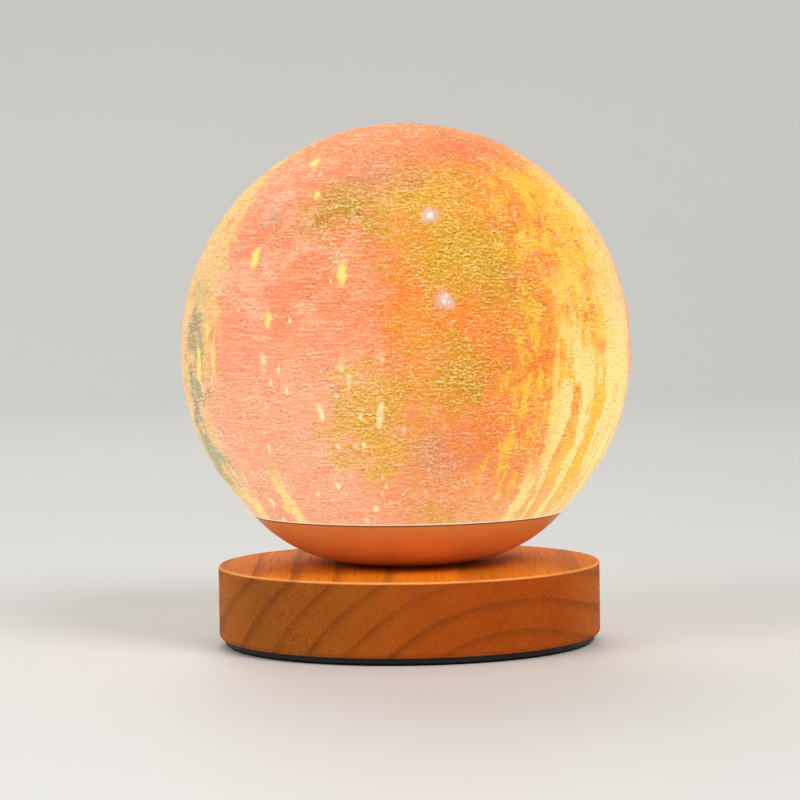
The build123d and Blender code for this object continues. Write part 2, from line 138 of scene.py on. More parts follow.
def ramp(tree, value, stops):
    node = add(tree, "ValToRGB", {"Fac": value})
    points = node.color_ramp.elements
    points[0].position, points[0].color = stops[0]
    points[-1].position, points[-1].color = stops[-1]
    for position, colour in stops[1:-1]:
        points.new(position).color = colour
    return node.outputs["Color"]


def newGroup(name, inputs, outputs):
    group = bpy.data.node_groups.new(name, "ShaderNodeTree")
    for side, sockets in (("INPUT", inputs), ("OUTPUT", outputs)):
        for label, kind in sockets.items():
            group.interface.new_socket(name=label, in_out=side, socket_type="NodeSocket" + kind)
    return group, group.nodes.new("NodeGroupInput").outputs, group.nodes.new("NodeGroupOutput")


def place(tree, group, inputs):
    return add(tree, "Group", inputs, node_tree=group).outputs


def newMaterial(name):
    material = bpy.data.materials.new(name)
    material.use_nodes = True
    tree = material.node_tree
    return material, tree, tree.nodes["Principled BSDF"]


def bumpNormal(tree, height, distance, strength=1.0):
    node = add(tree, "Bump", {"Height": height, "Distance": distance, "Strength": strength})
    return node.outputs["Normal"]


# painting in coats: the dictionary of the piece names their noises, edges, spans, shades and strengths

def waves(at, name, vector):
    return noise(at.tree, vector, *at.paint["noises"][name])


def edge(at, name, value):
    return step(at.tree, value, *at.paint["edges"][name])


def shift(at, name, value):
    return centred(at.tree, value, at.paint["spans"][name])


def cover(at, mask, shade, strength, kind="MIX"):
    share = times(at.tree, mask, strength)
    at.colour = blend(at.tree, share, at.colour, tone(*at.paint["shades"][shade]), kind)


def lay(at, coat, mask):
    cover(at, mask, *at.paint["coats"][coat])


# shared effects: noises as detail and roughness, edges as the values where they start and end

effects = {
    "mottle": {"cloud": (4.0, 0.6), "speck": (2.0, 0.5), "finer": 7.0, "edge": (0.3, 0.7)},
    "brushed": {"lines": (3.0, 0.65), "edge": (0.25, 0.75)},
    "printLayers": {"waver": (3.0, 0.6), "flatten": 3.0, "sway": 1.6, "gaps": (0.32, 0.62),
                    "edge": (0.2, 0.9)},
    "settledDust": {"scale": 160.0, "patch": (5.0, 0.7), "upward": (0.2, 0.95), "edge": (0.42, 0.75)},
}


def makeMottle(form):
    # cloudy colour change with fine specks, for moulded and sheet finishes
    group, given, out = newGroup(
        "mottle", {"Scale": "Float", "Dark": "Color", "Light": "Color", "Speck": "Float"},
        {"Colour": "Color", "Mask": "Float", "Height": "Float"})
    spot = objectPlace(group)
    cloud = noise(group, spot, given["Scale"], *form["cloud"])
    speck = noise(group, spot, times(group, given["Scale"], form["finer"]), *form["speck"])
    mixed = plus(group, cloud, centred(group, speck, given["Speck"]))
    mask = step(group, mixed, *form["edge"])
    colour = blend(group, mask, given["Dark"], given["Light"])
    feed(group, out, {"Colour": colour, "Mask": mask, "Height": mixed})
    return group


def makeBrushed(form):
    # long fine tool marks, for turned and rolled metal
    group, given, out = newGroup("brushed", {"Scale": "Float", "Length": "Float"},
                                 {"Mask": "Float", "Height": "Float"})
    pulled = add(group, "CombineXYZ", {0: given["Length"], 1: given["Length"], 2: 1.0}).outputs[0]
    along = vecCalc(group, "MULTIPLY", objectPlace(group), pulled)
    lines = noise(group, along, given["Scale"], *form["lines"])
    feed(group, out, {"Mask": step(group, lines, *form["edge"]), "Height": lines})
    return group


def makeLayers(form):
    # print layers: level lines that waver and break up
    group, given, out = newGroup("printLayers", {"Pitch": "Float", "Break": "Float"},
                                 {"Mask": "Float", "Height": "Float"})
    spot = objectPlace(group)
    waver = noise(group, stretch(group, spot, 1.0, 1.0, form["flatten"]), given["Break"], *form["waver"])
    level = calc(group, "DIVIDE", axes(group, spot)["Z"], given["Pitch"])
    turn = times(group, plus(group, level, times(group, waver, form["sway"])), 2 * math.pi)
    wave = calc(group, "MULTIPLY_ADD", calc(group, "SINE", turn), 0.5, 0.5)
    height = times(group, wave, step(group, waver, *form["gaps"]))
    feed(group, out, {"Mask": step(group, height, *form["edge"]), "Height": height})
    return group


def makeDust(form):
    # thin dust that settles on faces that look up
    group, given, out = newGroup("settledDust", {"Amount": "Float"}, {"Mask": "Float"})
    up = axes(group, add(group, "NewGeometry").outputs["Normal"])["Z"]
    patch = step(group, noise(group, objectPlace(group), form["scale"], *form["patch"]), *form["edge"])
    feed(group, out, {"Mask": times(group, step(group, up, *form["upward"]), patch, given["Amount"])})
    return group


mottleGroup = makeMottle(effects["mottle"])
brushedGroup = makeBrushed(effects["brushed"])
layersGroup = makeLayers(effects["printLayers"])
dustGroup = makeDust(effects["settledDust"])
print("shared effects ready")


# globe shell: printed wall with a shallow relief, made as one closed mesh

globeForm = {
    "segments": 440, "rows": 176, "innerRows": 12, "wall": 0.0018, "plainEdge": 0.0022,
    # relief: its full depth, then swells by pace round the globe and weight
    "seed": 11, "relief": 0.00072, "swells": [(7.0, 1.0), (15.0, 0.8), (34.0, 0.55)], "wavesEach": 30,
    "paceSpread": (0.7, 1.4), "squash": 0.8,
    # round craters: most are small, reach in radians
    "craters": 230, "smallShare": 0.92, "smallReach": (0.01, 0.022), "largeReach": (0.025, 0.042),
    "bowlDepth": 0.9, "lipHeight": 0.55, "lipWidth": 0.28, "craterSpread": (0.5, 1.0),
    # strips of the flat map, low and high: outer skin, cut edge, inner skin
    "strips": [(0.06, 1.0), (0.04, 0.05), (0.0, 0.03)],
}


def globeRelief(points, form):
    # depth is 0 at the outer skin, negative inward; craters are also given by themselves
    draw = np.random.RandomState(form["seed"])
    swell = np.zeros(len(points))
    for pace, weight in form["swells"]:
        for _ in range(form["wavesEach"]):
            way = draw.normal(size=3)
            way *= pace * draw.uniform(*form["paceSpread"]) / np.linalg.norm(way)
            start = draw.uniform(0, 2 * math.pi)
            swell += weight * np.sin(points @ way + start) / math.sqrt(form["wavesEach"] / 2)
    swell = np.tanh(swell * form["squash"])
    craters = np.zeros(len(points))
    for _ in range(form["craters"]):
        middle = draw.normal(size=3)
        middle /= np.linalg.norm(middle)
        small = draw.uniform() < form["smallShare"]
        reach = draw.uniform(*form["smallReach" if small else "largeReach"])
        near = np.arccos(np.clip(points @ middle, -1, 1)) / reach
        bowl = np.where(near < 1, near**2 - 1, 0) * form["bowlDepth"]
        lip = np.exp(-((near - 1.0) / form["lipWidth"]) ** 2) * form["lipHeight"]
        craters += (bowl + lip) * draw.uniform(*form["craterSpread"])
    swell += craters
    low, high = swell.min(), swell.max()
    return (swell - high) / (high - low) * form["relief"], craters


def makeGlobe(form):
    low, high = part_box("globe_shell")
    radius = (high.x - low.x) / 2
    centre = high.z - radius
    count = form["segments"]
    turn = np.arange(count) * 2 * math.pi / count

    def skin(size, rows, carve):
        tilts = np.linspace(0, math.acos((low.z - centre) / size), rows + 1)[1:]
        rings = [np.stack([math.sin(tilt) * np.cos(turn), math.sin(tilt) * np.sin(turn),
                           np.full(count, math.cos(tilt))], 1) for tilt in tilts]
        points = np.concatenate([[[0, 0, 1.0]], *rings])
        depth, craters = np.zeros(len(points)), np.zeros(len(points))
        if carve:
            band = form["plainEdge"]
            depth, craters = globeRelief(points, form)
            depth *= 1 - np.clip((low.z + band - (centre + points[:, 2] * size)) / band, 0, 1)
        return points * (size + depth)[:, None] + [0, 0, centre], craters

    outside, pitsOutside = skin(radius, form["rows"], True)
    inside, pitsInside = skin(radius - form["wall"], form["innerRows"], False)
    faces, spread = [], []

    def put(face, spots, outward=True):
        faces.append(face if outward else face[::-1])
        spread.extend(spots if outward else spots[::-1])

    def putStrip(upper, lower, top, bottom, outward=True):
        for k in range(count):
            after, near, far = (k + 1) % count, k / count, (k + 1) / count
            put((upper + k, lower + k, lower + after, upper + after),
                [(near, top), (near, bottom), (far, bottom), (far, top)], outward)

    def net(start, rows, outward, strip):
        levels = np.linspace(strip[1], strip[0], rows + 1)
        for k in range(count):
            after, near, far = (k + 1) % count, k / count, (k + 1) / count
            put((start, start + 1 + k, start + 1 + after),
                [((near + far) / 2, levels[0]), (near, levels[1]), (far, levels[1])], outward)
        for row in range(1, rows):
            below = start + 1 + row * count
            putStrip(below - count, below, levels[row], levels[row + 1], outward)
        return start + 1 + (rows - 1) * count

    outerStrip, rimStrip, innerStrip = form["strips"]
    outerEdge = net(0, form["rows"], True, outerStrip)
    innerEdge = net(len(outside), form["innerRows"], False, innerStrip)
    putStrip(outerEdge, innerEdge, rimStrip[1], rimStrip[0])
    mesh = bpy.data.meshes.new("globeSkin")
    mesh.from_pydata(np.concatenate([outside, inside]).tolist(), [], faces)
    mesh.polygons.foreach_set("use_smooth", [True] * (len(faces) - count) + [False] * count)
    mesh.uv_layers.new(name="OFBake").data.foreach_set("uv", np.array(spread, np.float32).ravel())
    # craters make the wall thinner or thicker, for the light that comes through
    craters = mesh.attributes.new("craters", "FLOAT", "POINT")
    craters.data.foreach_set("value", np.concatenate([pitsOutside, pitsInside]).astype(np.float32))
    mesh.update()
    piece = bpy.data.objects.new("globeSkin", mesh)
    scene.collection.objects.link(piece)
    return piece, centre, radius, low.z


globeSkin, globeCentre, globeRadius, mouthLevel = makeGlobe(globeForm)
print("globe skin:", len(globeSkin.data.polygons), "faces")


# globe paint: cloudy colours that follow the meridians, with patches, streaks and specks

globePaint = {
    # degrees round the globe from the front, positive to the right
    "bands": [
        (-180, (250, 158, 84)), (-158, (250, 150, 108)), (-132, (250, 182, 98)), (-112, (252, 208, 114)),
        (-97, (248, 176, 116)), (-86, (250, 206, 120)), (-74, (248, 212, 128)), (-62, (252, 206, 122)),
        (-56, (252, 158, 112)), (-48, (252, 146, 106)), (-14, (252, 146, 98)), (0, (248, 130, 46)),
        (14, (248, 136, 30)), (29, (249, 140, 30)), (41, (252, 164, 34)), (49, (253, 180, 40)),
        (57, (254, 197, 62)), (66, (255, 220, 124)), (77, (254, 208, 146)), (85, (249, 168, 128)),
        (94, (250, 168, 122)), (116, (250, 150, 106)), (140, (252, 178, 58)), (160, (250, 160, 66)),
        (180, (250, 158, 84))],
    # direction (degrees round, degrees up), reach, softness, strength, colour
    "gold": [
        ((-17, 37), 9, 7, 0.9, (194, 148, 24)), ((8, 42), 13, 9, 0.75, (228, 176, 42)),
        ((17, 23), 13, 8, 0.85, (216, 168, 28)), ((28, 13), 6, 5, 0.7, (198, 146, 36)),
        ((-7, -12), 9, 7, 0.85, (226, 168, 26)), ((-8, -24), 8, 6, 0.8, (232, 174, 30)),
        ((15, -4), 8, 6, 0.85, (204, 154, 30)), ((5, 1), 7, 7, 0.5, (234, 164, 36)),
        ((8, -45), 5, 5, 0.7, (226, 166, 64)), ((158, 24), 15, 8, 0.85, (214, 162, 46)),
        ((176, -8), 13, 8, 0.8, (222, 166, 48)), ((100, 20), 13, 8, 0.75, (220, 164, 48)),
        ((-128, 6), 12, 8, 0.75, (214, 162, 48))],
    "patches": [
        ((-6, 53), 9, 7, 0.6, (206, 138, 108)), ((8, -27), 6, 5, 0.5, (214, 148, 120)),
        ((20, 72), 20, 10, 0.75, (243, 140, 74)), ((33, 60), 10, 6, 0.5, (238, 104, 54)),
        ((28, 2), 9, 6, 0.6, (246, 134, 46)), ((30, 40), 9, 7, 0.5, (246, 136, 52)),
        ((27, -22), 10, 7, 0.6, (246, 130, 66)), ((-64, 14), 5, 5, 0.6, (190, 176, 134)),
        ((-66, 1), 5, 4, 0.8, (164, 148, 124)), ((-68, -12), 6, 4, 0.85, (140, 158, 132)),
        ((-72, -27), 7, 4, 0.8, (150, 174, 140)), ((-45, 40), 2, 2, 0.4, (160, 160, 136)),
        ((-150, -14), 13, 8, 0.6, (152, 164, 134)), ((120, 8), 11, 8, 0.6, (206, 138, 108)),
        ((-122, 38), 13, 8, 0.5, (240, 120, 62)), ((-105, -20), 11, 7, 0.6, (154, 168, 140))],
    # pale runs down to the mouth: degrees round, half width, height where they start
    "drips": [(-41, 3.8, -0.4), (-63, 4.5, -0.5), (-22, 1.6, -0.66), (-3, 2.2, -0.7), (38, 3.4, -0.42),
              (104, 3.0, -0.5), (133, 2.2, -0.55), (171, 3.2, -0.45), (-118, 3.0, -0.5), (-146, 2.4, -0.6)],
    # upright flecks, fine strokes, then specks: scale, pull, size, share left out, strength, colour, where
    "flecks": [
        (8.0, 0.3, 0.2, 0.45, 0.9, "fleck", "leftSide"),
        (15.0, 0.3, 0.25, 0.25, 0.9, "stroke", "lowerLeft"),
        (22.5, 0.45, 0.2, 0.68, 0.8, "stroke", "leftSide"),
        (15.0, 0.6, 0.13, 0.7, 0.8, "speck", "worn"),
        (30.0, 1.7, 0.2, 0.62, 0.7, "speck", "worn")],
    "sparkles": [(7.5, 35.5), (9.9, 13.2), (-150, 30), (130, -20), (170, 42)],
    "shades": {
        "peach": (255, 204, 166), "coral": (249, 124, 82), "crown": (243, 136, 72), "ember": (240, 104, 34),
        "yellow": (255, 202, 54), "olive": (178, 132, 36), "meridianStreak": (255, 238, 152),
        "mouthGlow": (255, 200, 162), "rimWhite": (255, 246, 226), "stroke": (255, 240, 186),
        "grit": (186, 130, 44), "lightDash": (255, 226, 160), "goldDash": (255, 220, 112),
        "darkDash": (206, 158, 116), "fleck": (252, 236, 124), "speck": (255, 240, 208),
        "halo": (228, 194, 184)},
    # shade and strength of each coat
    "coats": {
        "crown": ("crown", 0.9), "crownGrain": ("yellow", 0.3), "paleCloud": ("peach", 0.55),
        "redCloud": ("coral", 0.5), "mouthGlow": ("mouthGlow", 0.5), "goldShade": ("olive", 0.3),
        "warmBlotch": ("yellow", 0.9), "embers": ("ember", 0.65), "lowRuns": ("yellow", 0.8),
        "streaks": ("meridianStreak", 0.9), "drips": ("meridianStreak", 0.85), "paleLines": ("peach", 0.6),
        "redLines": ("coral", 0.4), "bowls": ("speck", 0.4), "lips": ("darkDash", 0.5, "MULTIPLY"),
        # the dent coats are painted highlight and painted shade on the dents, as if lit from above
        "dentLight": ("lightDash", 0.6), "dentGold": ("goldDash", 0.5),
        "dentDark": ("darkDash", 0.75, "MULTIPLY"), "dentSpeck": ("speck", 0.75), "glints": ("speck", 0.65),
        "goldGlints": ("goldDash", 0.6), "pits": ("grit", 0.5, "MULTIPLY"), "halo": ("halo", 0.85),
        "spark": ("rimWhite", 1.0), "rim": ("rimWhite", 0.7), "layerLines": ("darkDash", 0.12, "MULTIPLY")},
    # scale on a globe of radius 1, detail, roughness
    "noises": {
        "drift": (2.6, 5.0, 0.62), "fine": (17.0, 5.0, 0.65), "hammer": (42.0, 4.0, 0.66),
        "sway": (3.2, 4.0, 0.6), "cloud": (5.0, 7.0, 0.68), "torn": (6.0, 8.0, 0.74),
        "blotch": (7.5, 7.0, 0.7), "spots": (13.0, 6.0, 0.7), "threads": (8.0, 4.0, 0.6),
        "runs": (12.0, 3.0, 0.6), "lines": (8.0, 4.0, 0.65), "worn": (5.5, 4.0, 0.6),
        "glitter": (105.0, 2.0, 0.6)},
    # value where a mask starts, value where it is full, and for some its least and most
    "edges": {
        "crown": (0.7, 0.95), "crownGrain": (0.5, 0.6), "low": (-0.2, -0.85),
        "leftSide": (0.2, -0.3, 0.12, 1.0), "lower": (0.2, -0.3), "paleCloud": (0.49, 0.63),
        "redCloud": (0.46, 0.34), "goldShade": (0.5, 0.62), "warmSide": (0.92, 0.99),
        "warmFoot": (-0.55, -0.15), "warmTop": (0.86, 0.66), "warmBlotch": (0.48, 0.53),
        "embers": (0.47, 0.4), "paleSide": (0.9, 0.97),
        "behind": (0.3, 0.9, 0.0, 0.7), "streakTop": (0.5, -0.2), "threads": (0.49, 0.55),
        "runSide": (0.9, 0.97), "runTop": (0.25, 0.0), "runFoot": (-0.8, -0.45), "paleLines": (0.52, 0.66),
        "redLines": (0.47, 0.34), "bowls": (-0.1, -0.7), "lips": (0.1, 0.5), "lipGrain": (0.4, 0.6),
        "worn": (0.36, 0.62, 0.4, 1.0), "dentLight": (0.03, 0.17), "dentDark": (-0.04, -0.18),
        "dentSpeck": (0.16, 0.24), "glints": (0.56, 0.66), "pits": (0.45, 0.34), "fleck": (1.0, 0.4),
        "halo": (0.05, 0.022), "spark": (0.018, 0.004), "rough": (0.2, 0.8, 0.5, 0.72)},
    # how far a noise shifts the place where it is added
    "spans": {
        "sway": 0.1, "bandGrain": 0.08, "crown": 0.5, "side": 1.2, "torn": 0.8, "tornGrain": 0.14,
        "across": 0.3, "behind": 1.0, "ragged": 0.14, "frayed": 0.25, "spark": 0.12, "rim": 0.0005},
    "push": 0.34, "fleckPush": 0.1, "dentLift": 0.0034, "dentFlatten": 2.4, "blotchPull": 0.7,
    "streakPull": 0.25, "lineFlatten": 15.0, "warmDegrees": 44, "paleDegrees": 60, "paleExtra": 0.035,
    "dripCore": 0.4, "dripFade": 0.2, "wornDents": 0.7, "wornGlitter": 0.5, "crownGlitter": 0.8,
    "fleckSoft": 0.05, "fleckLeast": 0.4, "rimBand": (0.0006, 0.0002),
    "layers": {"Pitch": 0.0008, "Break": 240.0}, "layerRise": 0.3, "bump": 0.0009, "shine": 0.15,
    "skinShare": 0.34, "glowStrength": 0.78,
}


def facing(turnDegrees, upDegrees):
    turn, up = math.radians(turnDegrees), math.radians(upDegrees)
    return (math.sin(turn) * math.cos(up), -math.cos(turn) * math.cos(up), math.sin(up))


def findGlobePlaces(at):
    # places, noises and masks that several layers of the paint share
    tree, paint = at.tree, at.paint
    at.spot = objectPlace(tree)
    fromCentre = vecCalc(tree, "SUBTRACT", at.spot, (0, 0, globeCentre))
    at.outward = vecCalc(tree, "DIVIDE", fromCentre, (globeRadius,) * 3)
    at.x, at.y, at.z = axes(tree, at.outward)
    at.flat = vecCalc(tree, "NORMALIZE", stretch(tree, at.outward, 1.0, 1.0, 0.0))
    at.turn = calc(tree, "ARCTAN2", at.x, times(tree, at.y, -1.0))
    # soft drift that bends every edge of the paint
    drift = noise(tree, at.outward, *paint["noises"]["drift"], output="Color")
    at.push = vecCalc(tree, "SUBTRACT", drift, (0.5, 0.5, 0.5))
    at.drifted = vecCalc(tree, "MULTIPLY_ADD", at.push, (paint["push"],) * 3, at.outward)
    at.fine = waves(at, "fine", at.outward)
    at.ragged = shift(at, "ragged", at.fine)
    # hammered skin: level dents, each with a painted highlight on its upper side and a painted shade on its
    # lower side, as if lit from above
    pair = []
    for lift in (paint["dentLift"], -paint["dentLift"]):
        moved = vecCalc(tree, "ADD", at.outward, (0, 0, lift))
        pair.append(waves(at, "hammer", stretch(tree, moved, 1.0, 1.0, paint["dentFlatten"])))
    at.hammer, at.dent = pair[0], calc(tree, "SUBTRACT", *pair)
    at.cloud = waves(at, "cloud", at.drifted)
    at.crown = edge(at, "crown", plus(tree, at.z, shift(at, "crown", at.cloud)))
    at.leftSide = edge(at, "leftSide", plus(tree, at.x, shift(at, "side", at.cloud)))
    lower = edge(at, "lower", plus(tree, at.z, shift(at, "side", at.cloud)))
    at.lowerLeft = times(tree, lower, at.leftSide)
    at.blotched = stretch(tree, at.drifted, 1.0, 1.0, paint["blotchPull"])
    at.blotch = waves(at, "blotch", at.blotched)
    at.worn = edge(at, "worn", waves(at, "worn", at.outward))


def layBands(at):
    # bands round the globe
    tree = at.tree
    share = calc(tree, "MULTIPLY_ADD", at.turn, 1 / (2 * math.pi), 0.5)
    sway = plus(tree, shift(at, "sway", waves(at, "sway", at.outward)), shift(at, "bandGrain", at.fine))
    wrapped = calc(tree, "FRACT", plus(tree, plus(tree, share, sway), 1.0))
    stops = [((degrees + 180) / 360, tone(*shade)) for degrees, shade in at.paint["bands"]]
    at.colour = ramp(tree, wrapped, stops)
    # clouds of paler and redder paint, one colour over the top, and a painted brighter glow toward the
    # mouth, nearer the light inside
    lay(at, "crown", at.crown)
    lay(at, "crownGrain", times(tree, at.crown, edge(at, "crownGrain", at.fine)))
    low = edge(at, "low", at.z)
    lay(at, "paleCloud", times(tree, edge(at, "paleCloud", at.cloud), most(tree, at.leftSide, low)))
    lay(at, "redCloud", edge(at, "redCloud", at.cloud))
    lay(at, "mouthGlow", most(tree, low, at.lowerLeft))


def layPatches(at):
    # patches with torn edges
    tree = at.tree
    torn = plus(tree, shift(at, "torn", waves(at, "torn", at.outward)), shift(at, "tornGrain", at.hammer))
    at.gold = None
    for group in ("gold", "patches"):
        for (around, up), reach, soft, strength, shade in at.paint[group]:
            apart = plus(tree, vecCalc(tree, "DISTANCE", at.drifted, facing(around, up)), torn)
            mask = step(tree, apart, math.radians(reach + soft), math.radians(reach - soft), 0.0, strength)
            at.colour = blend(tree, mask, at.colour, tone(*shade))
            if group == "gold":
                at.gold = mask if at.gold is None else most(tree, at.gold, mask)
    lay(at, "goldShade", times(tree, at.gold, edge(at, "goldShade", at.blotch)))


def layStreaks(at):
    # yellow blotches and embers down the right side
    tree, paint = at.tree, at.paint
    warmth = vecCalc(tree, "DOT_PRODUCT", at.flat, facing(paint["warmDegrees"], 0))
    across = plus(tree, warmth, shift(at, "across", at.cloud))
    warm = times(tree, edge(at, "warmSide", across), edge(at, "warmFoot", at.z), edge(at, "warmTop", at.z))
    lay(at, "warmBlotch", times(tree, warm, edge(at, "warmBlotch", at.blotch)))
    lay(at, "embers", times(tree, warm, edge(at, "embers", waves(at, "spots", at.blotched))))
    # streaks that run down the meridians
    lifted = add(tree, "CombineXYZ", {2: times(tree, at.z, paint["streakPull"])}).outputs[0]
    along = vecCalc(tree, "ADD", at.flat, lifted)
    pale = edge(at, "paleSide", vecCalc(tree, "DOT_PRODUCT", at.flat, facing(paint["paleDegrees"], 0)))
    threads = calc(tree, "MULTIPLY_ADD", pale, paint["paleExtra"], waves(at, "threads", along))
    streak = edge(at, "threads", plus(tree, threads, at.ragged))
    behind = edge(at, "behind", plus(tree, at.y, shift(at, "behind", at.cloud)))
    sides = times(tree, most(tree, pale, behind), edge(at, "streakTop", at.z))
    runs = edge(at, "threads", plus(tree, waves(at, "runs", along), at.ragged))
    lowRight = times(tree, edge(at, "runSide", across), edge(at, "runTop", at.z), edge(at, "runFoot", at.z))
    lay(at, "lowRuns", times(tree, runs, lowRight))
    lay(at, "streaks", times(tree, streak, sides))
    swayed = plus(tree, at.turn, at.ragged)
    for around, width, top in paint["drips"]:
        off = calc(tree, "ABSOLUTE", calc(tree, "SUBTRACT", swayed, math.radians(around)))
        run = step(tree, off, math.radians(width), math.radians(width * paint["dripCore"]))
        lay(at, "drips", times(tree, run, step(tree, at.z, top, top - paint["dripFade"])))


def layPrintMarksAndDentLight(at):
    # level lines left by the print head
    tree, paint = at.tree, at.paint
    lines = waves(at, "lines", stretch(tree, at.outward, 1.0, 1.0, paint["lineFlatten"]))
    lay(at, "paleLines", times(tree, edge(at, "paleLines", lines), at.leftSide))
    lay(at, "redLines", times(tree, edge(at, "redLines", lines), at.leftSide))
    # light through the wall: craters glow and their thick lips are darker
    crater = add(tree, "Attribute", attribute_name="craters").outputs["Fac"]
    lay(at, "bowls", edge(at, "bowls", crater))
    lay(at, "lips", times(tree, edge(at, "lips", crater), edge(at, "lipGrain", at.fine)))
    # painted light on the dents: a highlight on the upper side and a shade on the lower, strongest in the
    # gold, with painted highlight specks at the brightest tips
    shown = most(tree, times(tree, at.worn, paint["wornDents"]), at.gold)
    bright, dim = edge(at, "dentLight", at.dent), edge(at, "dentDark", at.dent)
    lay(at, "dentLight", times(tree, bright, shown))
    lay(at, "dentGold", times(tree, bright, at.gold))
    lay(at, "dentDark", times(tree, dim, shown))
    lay(at, "dentSpeck", times(tree, edge(at, "dentSpeck", at.dent), at.worn))
    # glitter of the print, strongest in the gold and over the top
    glitter = waves(at, "glitter", at.outward)
    glints, pits = edge(at, "glints", glitter), edge(at, "pits", glitter)
    grainy = most(tree, times(tree, at.crown, paint["crownGlitter"]),
                  times(tree, at.worn, paint["wornGlitter"]))
    lay(at, "glints", times(tree, glints, grainy))
    lay(at, "goldGlints", times(tree, glints, at.gold))
    lay(at, "pits", times(tree, pits, most(tree, grainy, at.gold)))


def layFlecks(at):
    tree, paint = at.tree, at.paint
    places = {"leftSide": at.leftSide, "lowerLeft": at.lowerLeft, "worn": at.worn}
    frayed = shift(at, "frayed", at.hammer)
    for scale, pull, size, share, strength, shade, where in paint["flecks"]:
        pulled = stretch(tree, at.outward, 1.0, 1.0, pull)
        wanders = vecCalc(tree, "MULTIPLY_ADD", at.push, (paint["fleckPush"],) * 3, pulled)
        cell = add(tree, "TexVoronoi", {"Vector": wanders, "Scale": scale}).outputs
        chance = add(tree, "SeparateColor", {0: cell["Color"]}).outputs
        kept = times(tree, step(tree, chance["Green"], share, share + paint["fleckSoft"]), places[where])
        reach = calc(tree, "MULTIPLY_ADD", chance["Blue"], size, size * paint["fleckLeast"])
        apart = calc(tree, "DIVIDE", plus(tree, cell["Distance"], frayed), reach)
        cover(at, times(tree, edge(at, "fleck", apart), kept), shade, strength)
    # sparkles with a pale halo
    uneven = shift(at, "spark", at.hammer)
    for around, up in paint["sparkles"]:
        apart = plus(tree, vecCalc(tree, "DISTANCE", at.outward, facing(around, up)), uneven)
        lay(at, "halo", edge(at, "halo", apart))
        lay(at, "spark", edge(at, "spark", apart))


def paintGlobe(paint):
    material, tree, shader = newMaterial("printedShell")
    at = SimpleNamespace(tree=tree, paint=paint)
    findGlobePlaces(at)
    for layer in (layBands, layPatches, layStreaks, layPrintMarksAndDentLight, layFlecks):
        layer(at)
    # raw white edge where the wall is cut at the mouth
    height = plus(tree, axes(tree, at.spot)["Z"], shift(at, "rim", at.fine))
    lay(at, "rim", step(tree, height, *(mouthLevel + level for level in paint["rimBand"])))
    layers = place(tree, layersGroup, paint["layers"])
    lay(at, "layerLines", layers["Mask"])
    pitted = plus(tree, times(tree, layers["Height"], paint["layerRise"]), at.hammer)
    feed(tree, shader, {
        "Base Color": blend(tree, 1.0, at.colour, (paint["skinShare"],) * 3 + (1.0,), "MULTIPLY"),
        "Emission Color": at.colour, "Emission Strength": paint["glowStrength"],
        "Specular IOR Level": paint["shine"], "Roughness": edge(at, "rough", at.fine),
        "Normal": bumpNormal(tree, pitted, paint["bump"])})
    return material


globeSkin.data.materials.append(paintGlobe(globePaint))
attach(globeSkin, "globe")
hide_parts("globe_shell")
print("globe painted")


# pine of the base: growth rings about an axis that runs front to back, below and right of the middle

pineGrain = {
    "heart": (0.036, -0.045), "ring": 0.0094, "spans": {"bend": 0.005},
    "shades": {
        "early": (160, 86, 19), "late": (98, 44, 6), "warm": (172, 73, 4), "pore": (96, 44, 8),
        # the pale rim colour is a painted highlight along both rims
        "longGrain": (250, 146, 26), "paintedRimHighlight": (255, 178, 104), "dust": (224, 196, 160)},
    # shade and strength of each coat
    "coats": {
        "warmSide": ("warm", 1.0), "grainAndLitTop": ("longGrain", 1.0), "lateWood": ("late", 0.82),
        "cloud": ("late", 1.0), "pores": ("pore", 1.0), "paleFibre": ("longGrain", 1.0),
        "paintedRimHighlight": ("paintedRimHighlight", 1.0), "dust": ("dust", 1.0)},
    # how each noise is pulled along the grain, then scale, detail and roughness
    "pulls": {"bend": 0.16, "patchy": 0.16, "fibre": 0.022, "cloud": 0.3},
    "noises": {
        "bend": (26.0, 2.0, 0.4), "patchy": (30.0, 3.0, 0.55), "fibre": (1400.0, 3.0, 0.6),
        "cloud": (60.0, 4.0, 0.6)},
    # value where a mask starts, value where it is full, and for some its share at each
    "edges": {
        "lateStart": (0.58, 0.86), "lateEnd": (0.97, 0.88), "year": (0.0, 1.0, 0.5, 1.0),
        "patchy": (0.25, 0.65, 0.35, 1.0), "warmSide": (-0.045, 0.03), "warmFade": (0.0, 1.0, 1.0, 0.55),
        # top is made far paler than flank: painted light on the top face
        "flank": (0.7, 1.0, 0.0, 0.2), "top": (0.3, 0.8, 0.0, 0.8), "cloud": (0.35, 0.75, 0.0, 0.2),
        "pores": (0.52, 0.72), "poreFade": (0.0, 0.8, 0.6, 0.38), "paleFibre": (0.45, 0.25, 0.0, 0.16),
        "paintedRimHighlight": (0.25, 0.6, 0.35, 0.85), "rough": (0.2, 0.8, 0.52, 0.7)},
    "rimBand": (0.0009, 0.00027), "dustAmount": 0.03, "lateRise": 0.5,
    "bump": (0.00012, 0.6), "shine": 0.1,
}


